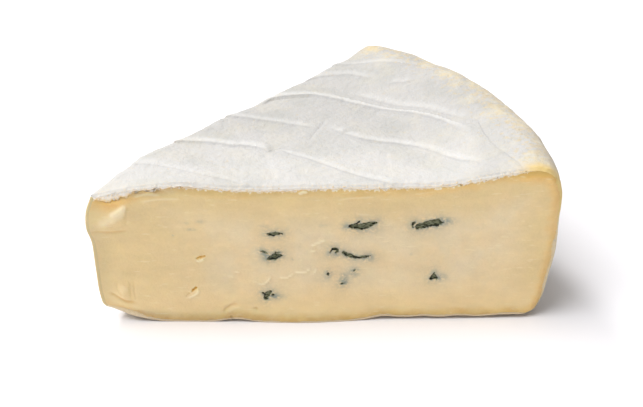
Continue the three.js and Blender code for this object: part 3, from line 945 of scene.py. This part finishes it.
class Net:
    """Adds nodes to one node tree. Values may be numbers, colours or other nodes' outputs."""

    def __init__(self, tree):
        self.tree = tree

    def add(self, kind, *values, **settings):
        node = self.tree.nodes.new("ShaderNode" + kind)
        for name, value in settings.items():
            setattr(node, name, value)
        for socket, value in zip(node.inputs, values):
            if value is not None:
                self.feed(socket, value)
        return node

    def feed(self, socket, value):
        if isinstance(value, bpy.types.NodeSocket):
            self.tree.links.new(value, socket)
        else:
            socket.default_value = value

    def math(self, operation, *values):
        return self.add("Math", *values, operation=operation).outputs[0]

    def times(self, first, *others):
        for value in others:
            first = self.math("MULTIPLY", first, value)
        return first

    def minus(self, first, second):
        return self.math("SUBTRACT", first, second)

    def scaled(self, value, factor, offset):
        return self.math("MULTIPLY_ADD", value, factor, offset)

    def dim(self, ground, factor):
        """A colour made darker or lighter by a factor."""
        return self.add("VectorMath", ground, factor, operation="MULTIPLY").outputs[0]

    def attribute(self, name):
        return self.add("Attribute", attribute_name=name).outputs["Fac"]

    def between(self, value, start, end):
        """0 below start, 1 above end, and smooth in between."""
        return self.add("MapRange", value, start, end, interpolation_type="SMOOTHSTEP").outputs[0]

    def mix(self, share, first, second):
        node = self.add("Mix", data_type="RGBA")
        for index, value in ((0, share), (6, first), (7, second)):
            self.feed(node.inputs[index], value)
        return node.outputs[2]

    def tint(self, ground, share, strength, new):
        """Lays a colour over a ground, where share is 1, with a strength up to 1."""
        return self.mix(self.times(share, strength), ground, new)

    def cloud(self, size, detail=3.0, seed=0.0):
        """Cloudy noise from 0 to 1. size is a cloud's size in mm, or its sizes along x, y and z."""
        sizes = size if isinstance(size, tuple) else (size, size, size)
        where = self.add("TexCoord").outputs["Object"]
        shrunk = self.add("Mapping", where, (seed, seed, seed), None, tuple(1 / (n * MM) for n in sizes))
        noise = self.add("TexNoise", shrunk.outputs[0])
        noise.inputs["Scale"].default_value = 1
        noise.inputs["Detail"].default_value = detail
        return noise.outputs["Fac"]

    def roughen(self, shader, height, strength, distance):
        """Low relief in the light alone. distance is in mm."""
        node = self.add("Bump")
        node.inputs["Strength"].default_value = strength
        node.inputs["Distance"].default_value = distance * MM
        self.feed(node.inputs["Height"], height)
        self.feed(shader.inputs["Normal"], node.outputs[0])


def new_finish(name, settings):
    """A new material, the net to fill it with, and its shader with some numbers set."""
    material = bpy.data.materials.new(name)
    material.use_nodes = True
    shader = material.node_tree.nodes["Principled BSDF"]
    for socket, value in settings.items():
        shader.inputs[socket].default_value = value
    return material, Net(material.node_tree), shader


def colour(red, green, blue):
    """A colour named as it is seen, in 0 to 255, turned into the light values that a shader takes."""
    shares = np.array([red, green, blue]) / 255
    light = np.where(shares <= 0.04045, shares / 12.92, ((shares + 0.055) / 1.055) ** 2.4)
    return (*[float(x) for x in light], 1)


# %% Mottling, for paste and rind alike
GRAIN_PER_METRE = 1600

mottling = bpy.data.node_groups.new("mottling", "ShaderNodeTree")
for name, kind, value in (
    ("Color", "NodeSocketColor", None),
    ("Tint", "NodeSocketColor", None),
    ("Cloud Size mm", "NodeSocketFloat", 8.0),
    ("Strength", "NodeSocketFloat", 0.5),
    ("Grain", "NodeSocketFloat", 0.06),
):
    socket = mottling.interface.new_socket(name=name, in_out="INPUT", socket_type=kind)
    if value is not None:
        socket.default_value = value
mottling.interface.new_socket(name="Color", in_out="OUTPUT", socket_type="NodeSocketColor")
net = Net(mottling)
given = mottling.nodes.new("NodeGroupInput")
result = mottling.nodes.new("NodeGroupOutput")
where = net.add("TexCoord").outputs["Object"]
broad = net.add("TexNoise", where)
net.feed(broad.inputs["Scale"], net.math("DIVIDE", 1 / MM, given.outputs["Cloud Size mm"]))
broad.inputs["Detail"].default_value = 4
patches = net.between(broad.outputs["Fac"], 0.38, 0.66)
tinted = net.tint(given.outputs["Color"], patches, given.outputs["Strength"], given.outputs["Tint"])
fine = net.add("TexNoise", where)
fine.inputs["Scale"].default_value = GRAIN_PER_METRE
fine.inputs["Detail"].default_value = 3
grain = net.scaled(net.minus(fine.outputs["Fac"], 0.5), given.outputs["Grain"], 1.0)
mottling.links.new(net.dim(tinted, grain), result.inputs["Color"])


def mottled(net, first, tint, size, strength, grain):
    node = net.tree.nodes.new("ShaderNodeGroup")
    node.node_tree = mottling
    for socket, value in zip(node.inputs, (first, tint, size, strength, grain)):
        net.feed(socket, value)
    return node.outputs["Color"]


print("mottling group:", [s.name for s in mottling.interface.items_tree])

# %% [markdown]
# ## Finish of the paste
# Ripe blue cheese paste is cream yellow. Deep inside it is paler and greyer, and for a few
# millimetres under the rind it is golden, where the rind has softened it. It lets light in, so its
# shadows glow warm. The distances that were kept with the mesh say where each tone goes, and clouds
# make their borders uneven.

# %% Paste: body colour
paste_finish, net, shader = new_finish("blue cheese paste", {
    "Roughness": 0.42,
    "Specular IOR Level": 0.35,
    "Subsurface Weight": 0.30,
    "Subsurface Radius": (1.0, 0.62, 0.30),
    "Subsurface Scale": 1.6 * MM,
})
rind_reach = net.scaled(net.cloud((4, 4, 2.2), seed=3), 2.4, net.minus(net.attribute("to_rind"), 1.2))
inside = mottled(net, colour(230, 211, 173), colour(233, 208, 162), 9.0, 0.8, 0.10)
ripe = mottled(net, colour(226, 200, 148), colour(229, 204, 149), 6.0, 0.8, 0.10)
golden = mottled(net, colour(235, 195, 126), colour(228, 184, 116), 3.0, 0.9, 0.10)
body = net.mix(net.attribute("ripeness"), inside, ripe)
# Warmer and lighter towards the foot: partly the paste's own colour, partly painted light bounced up from
# the floor.
body = net.tint(body, net.attribute("low"), 0.6, colour(246, 219, 168))
body = net.mix(net.between(rind_reach, 0.6, 4.2), golden, body)
# Deepest gold right under the rind: partly the golden border, partly painted shadow of the rind's
# overhanging edge.
body = net.mix(net.between(rind_reach, 0.0, 0.9), colour(229, 184, 102), body)

streak = net.scaled(net.minus(net.cloud((16, 16, 3.0), seed=5), 0.5), 0.06, 1.0)
blotch = net.scaled(net.minus(net.cloud((5, 5, 3), detail=4, seed=8), 0.5), 0.20, 1.0)
body = net.dim(body, net.times(streak, blotch))
smear = net.between(net.cloud((3.4, 3.4, 0.7), detail=4, seed=15), 0.60, 0.74)
body = net.tint(body, smear, 0.30, colour(248, 232, 194))

# %% [markdown]
# The knife leaves raised curls, which get a painted highlight in pale cream, and creases, which get
# painted shade in ochre. Mould in the pockets is grey green, with painted shade on their walls, and it
# greys the paste around it. The two small gas holes are amber inside. Last, the knife drags threads of
# white rind over the golden border, and the point, which faces the key light, gets painted shade.

# %% Paste: marks, mould and threads
marks = net.attribute("marks")
# Painted shade: the creases of the knife marks are tinted ochre.
crease = net.between(net.times(marks, -1.0), 0.04, 0.5)
# Painted highlight: raised knife marks are tinted pale cream.
body = net.tint(body, net.between(marks, 0.03, 0.32), 0.65, colour(252, 238, 204))
body = net.tint(body, crease, 0.55, colour(222, 178, 108))

cloudy = net.between(net.cloud((0.9, 0.9, 0.7), seed=4), 0.2, 0.6)
body = net.tint(body, net.attribute("haze"), cloudy, colour(152, 156, 144))
uneven = net.minus(net.cloud((0.5, 0.5, 0.4), seed=2), 0.5)
to_mould = net.scaled(uneven, 0.55, net.attribute("to_mould"))
growth = net.between(net.cloud((0.9, 0.9, 0.28), detail=2, seed=6), 0.38, 0.60)
mould = net.mix(growth, colour(64, 68, 36), colour(138, 141, 108))
# Painted shade: the pockets' walls, where the hollow shades itself, are darkened almost to black green.
wall_shade = net.between(net.cloud((1.4, 1.4, 0.9), detail=2, seed=16), 0.40, 0.56)
mould = net.tint(mould, wall_shade, net.between(to_mould, -0.42, -0.22), colour(26, 32, 12))
body = net.mix(net.between(to_mould, -0.12, 0.10), mould, body)

to_eye = net.attribute("to_eye")
amber = net.mix(net.between(to_eye, -0.36, -0.10), colour(208, 160, 74), colour(234, 198, 120))
body = net.mix(net.between(to_eye, -0.15, 0.15), amber, body)

thread = net.between(net.cloud((1.0, 1.0, 1.4), detail=5, seed=9), 0.38, 0.68)
thread_left = net.minus(net.scaled(thread, 1.1, 0.75), net.attribute("to_top"))
body = net.tint(body, net.between(thread_left, -0.6, 0.1), 0.45, colour(250, 216, 158))
body = net.tint(body, net.between(thread_left, -0.1, 0.35), 0.85, colour(252, 240, 218))
# Painted shade: the point, lit hard by the key light from the left, is made duller and greyer.
body = net.mix(net.attribute("point"), body, colour(202, 184, 138))
net.feed(shader.inputs["Base Color"], body)
relief = net.scaled(net.cloud((1.6, 1.6, 0.7), seed=5), 0.6, net.cloud((0.5, 0.5, 0.4), detail=2))
net.roughen(shader, relief, 0.35, 0.25)
paste.data.materials.append(paste_finish)
print("paste nodes:", len(paste_finish.node_tree.nodes))

# %% [markdown]
# ## Finish of the rind
# The rind is white mould like fine felt: dull, with a little sheen at grazing angles. Its colour is
# painted whiter on the ridges as highlight and greyer in front of them as shade, and a fine grey line of
# painted shade runs along each fold and crease. The lines come from the distance to them, so they stay
# crisp however coarse the mesh is. The top is also painted darker towards the back and the rim, as shade.

# %% Rind: felt and folds
rind_finish, net, shader = new_finish("white bloomy rind", {
    "Roughness": 0.9,
    "Specular IOR Level": 0.2,
    "Sheen Weight": 0.15,
    "Sheen Roughness": 0.6,
    "Subsurface Weight": 0.12,
    "Subsurface Radius": (1.0, 0.8, 0.6),
    "Subsurface Scale": 1 * MM,
})
felt = mottled(net, colour(213, 210, 206), colour(205, 203, 198), 9.0, 0.9, 0.05)
# Painted shade: the top is darkened towards the back cut and the rim.
felt = net.dim(felt, net.scaled(net.attribute("greyness"), -0.17, 1.0))
fold_strength = net.attribute("fold_strength")
wander = net.cloud(3, detail=2, seed=18)
to_line = net.scaled(wander, 0.8, net.minus(net.attribute("to_fold"), 0.4))
before = net.minus(1.0, net.between(to_line, 0.0, 0.25))
before = net.times(net.between(to_line, -2.2, -0.1), before, fold_strength)
ridge = net.minus(1.0, net.between(to_line, 1.4, 4.4))
ridge = net.times(ridge, net.between(to_line, -0.1, 1.3), fold_strength)
line = net.minus(1.0, net.between(net.math("ABSOLUTE", to_line), 0.06, 0.34))
line = net.times(line, net.attribute("line_strength"))
# Painted shade in front of each ridge, painted highlight on the ridge, and a line of painted shade along
# each fold and crease.
felt = net.tint(felt, before, 0.14, colour(186, 187, 190))
felt = net.tint(felt, ridge, 0.6, colour(231, 229, 226))
felt = net.tint(felt, line, 0.36, colour(172, 172, 174))

# %% [markdown]
# Towards the rim the mould wears through in tan mottles and cream patches, and the rim's far side,
# which turns away from the light, gets painted shade. At the cut it is stained cream by the paste and
# ends in a torn fringe, white where it faces up and peach where it meets the paste; where it meets the
# paste it is also golden, partly painted light that lifts the shade in that recess. At the corner of the
# front cut it has worn off, and the underside is tan from the board.

# %% Rind: rim, fringe and underside
rim = net.attribute("rim")
tan = net.between(net.scaled(rim, 0.28, net.cloud(1.5, detail=4, seed=7)), 0.62, 0.84)
felt = net.tint(felt, tan, 0.65, colour(212, 192, 152))
speck = net.between(net.cloud(0.8, detail=2, seed=14), 0.56, 0.68)
felt = net.tint(felt, net.times(speck, rim), 0.5, colour(176, 164, 138))
# Painted shade on the rim's far side, which turns away from the light.
felt = net.tint(felt, net.between(rim, 0.85, 1.0), 0.3, colour(204, 186, 154))
cream = net.between(net.cloud(7, detail=2, seed=12), 0.46, 0.66)
felt = net.tint(felt, cream, net.scaled(rim, 0.35, 0.12), colour(228, 216, 184))

from_cut = net.attribute("from_cut")
skin_depth = net.attribute("skin_depth")
underside = net.attribute("underside")
stain = net.minus(1.0, net.between(from_cut, 0.2, 3.2))
stain = net.times(stain, net.between(net.cloud((0.7, 0.7, 0.9), seed=1), 0.48, 0.66))
felt = net.tint(felt, stain, 0.5, colour(230, 212, 184))
fringe_reach = net.scaled(net.cloud(0.9, detail=4, seed=20), 2.6, -0.6)
fringe = net.between(net.minus(fringe_reach, from_cut), 0.0, 0.7)
peach = net.times(skin_depth, net.between(net.cloud(0.8, seed=19), 0.36, 0.6))
torn = net.mix(net.between(skin_depth, 0.05, 0.45), colour(218, 214, 207), colour(246, 239, 228))
torn = net.mix(peach, torn, colour(248, 220, 170))
# Golden where the torn rind meets the paste: partly its colour there, partly painted light lifting the
# shade of that recess.
torn = net.mix(net.between(skin_depth, 0.55, 0.95), torn, colour(240, 206, 142))
torn = net.tint(torn, rim, 0.7, colour(226, 200, 150))
torn = net.mix(underside, torn, colour(216, 200, 180))
felt = net.tint(felt, fringe, 0.9, torn)
felt = net.tint(felt, net.attribute("worn"), 0.85, colour(230, 198, 122))
felt = net.tint(felt, underside, 0.7, colour(206, 184, 148))
net.feed(shader.inputs["Base Color"], felt)

relief = net.scaled(net.cloud(0.35), 0.35, net.cloud(1.8, detail=5, seed=2))
relief = net.scaled(ridge, 0.08, relief)
relief = net.scaled(line, -0.12, relief)
net.roughen(shader, relief, 0.6, 0.8)
rind.data.materials.append(rind_finish)
print("rind nodes:", len(rind_finish.node_tree.nodes))

# %% [markdown]
# ## Finish of the torn threads
# The threads are the rind's own mould, so they are white felt too, but thin enough for the golden
# paste to show through. Each tuft keeps how stained it is, and a few are brown crumbs of old rind.

# %% Torn threads
fluff_finish, net, shader = new_finish("torn rind threads", {
    "Roughness": 0.9,
    "Specular IOR Level": 0.1,
    "Subsurface Weight": 0.2,
    "Subsurface Radius": (1.0, 0.8, 0.55),
    "Subsurface Scale": 0.8 * MM,
})
threads = mottled(net, colour(241, 235, 225), colour(244, 220, 180), 1.5, 0.9, 0.15)
threads = net.tint(threads, net.attribute("stain"), 0.7, colour(238, 206, 150))
threads = net.tint(threads, net.attribute("brown"), 0.8, colour(160, 126, 84))
net.feed(shader.inputs["Base Color"], threads)
fluff.data.materials.append(fluff_finish)

# %% [markdown]
# ## Floor, light and camera
# The photograph is a plain product picture on white: a large soft light from above on the left,
# much fill from all round, and a camera that looks down at about 26 degrees with a long lens.

# %% Floor
FLOOR_SIDE = 4

bpy.ops.mesh.primitive_plane_add(size=FLOOR_SIDE, location=(0, 0, 0))
floor = bpy.context.object
floor.name = "floor"
floor_finish, net, shader = new_finish("white studio floor", {
    "Base Color": (0.93, 0.92, 0.95, 1),
    "Roughness": 0.9,
    "Specular IOR Level": 0.0,
})
floor.data.materials.append(floor_finish)

# %% Light
SKY_STRENGTH = 0.35


def add_sun(name, azimuth, elevation, softness, strength):
    """A far lamp. Azimuth 0 is behind the camera and 90 on the left; angles are in degrees."""
    turn, rise = math.radians(azimuth), math.radians(elevation)
    from_lamp = Vector((math.sin(turn) * math.cos(rise), math.cos(turn) * math.cos(rise), -math.sin(rise)))
    bpy.ops.object.light_add(type="SUN", location=-from_lamp)
    lamp = bpy.context.object
    lamp.name = name
    lamp.data.angle = math.radians(softness)
    lamp.data.energy = strength * math.pi / math.sin(rise)
    lamp.rotation_mode = "QUATERNION"
    lamp.rotation_quaternion = from_lamp.to_track_quat("-Z", "Y")


world = bpy.data.worlds.new("studio")
bpy.context.scene.world = world
world.use_nodes = True
world.node_tree.nodes["Background"].inputs["Color"].default_value = (1, 1, 1, 1)
world.node_tree.nodes["Background"].inputs["Strength"].default_value = SKY_STRENGTH
add_sun("key light", 75, 60, 58, 0.75)
add_sun("back light", 150, 40, 12, 0.25)

# %% Camera
CAMERA_SPOT = Vector((-0.013175, -0.566566, 0.29405))
CAMERA_RIGHT = Vector((0.9997, -0.0240, 0.0))
CAMERA_UP = Vector((0.0107, 0.4451, 0.8954))
CAMERA_LENS = 130.17
CAMERA_SENSOR = 36

bpy.ops.object.camera_add(location=CAMERA_SPOT)
camera = bpy.context.object
turn = Matrix((CAMERA_RIGHT, CAMERA_UP, CAMERA_RIGHT.cross(CAMERA_UP))).transposed()
camera.rotation_euler = turn.to_euler()
camera.data.lens = CAMERA_LENS
camera.data.sensor_width = CAMERA_SENSOR
bpy.context.scene.camera = camera
bpy.context.scene.view_settings.view_transform = "Standard"

# %% [markdown]
# ## Hand over
# The paste, the rind and its threads stand for the one solid of the CAD model and ride on its body.

# %% Ride and replace
for piece in (paste, rind, fluff):
    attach(piece, "root")
    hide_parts("cheese_wedge")
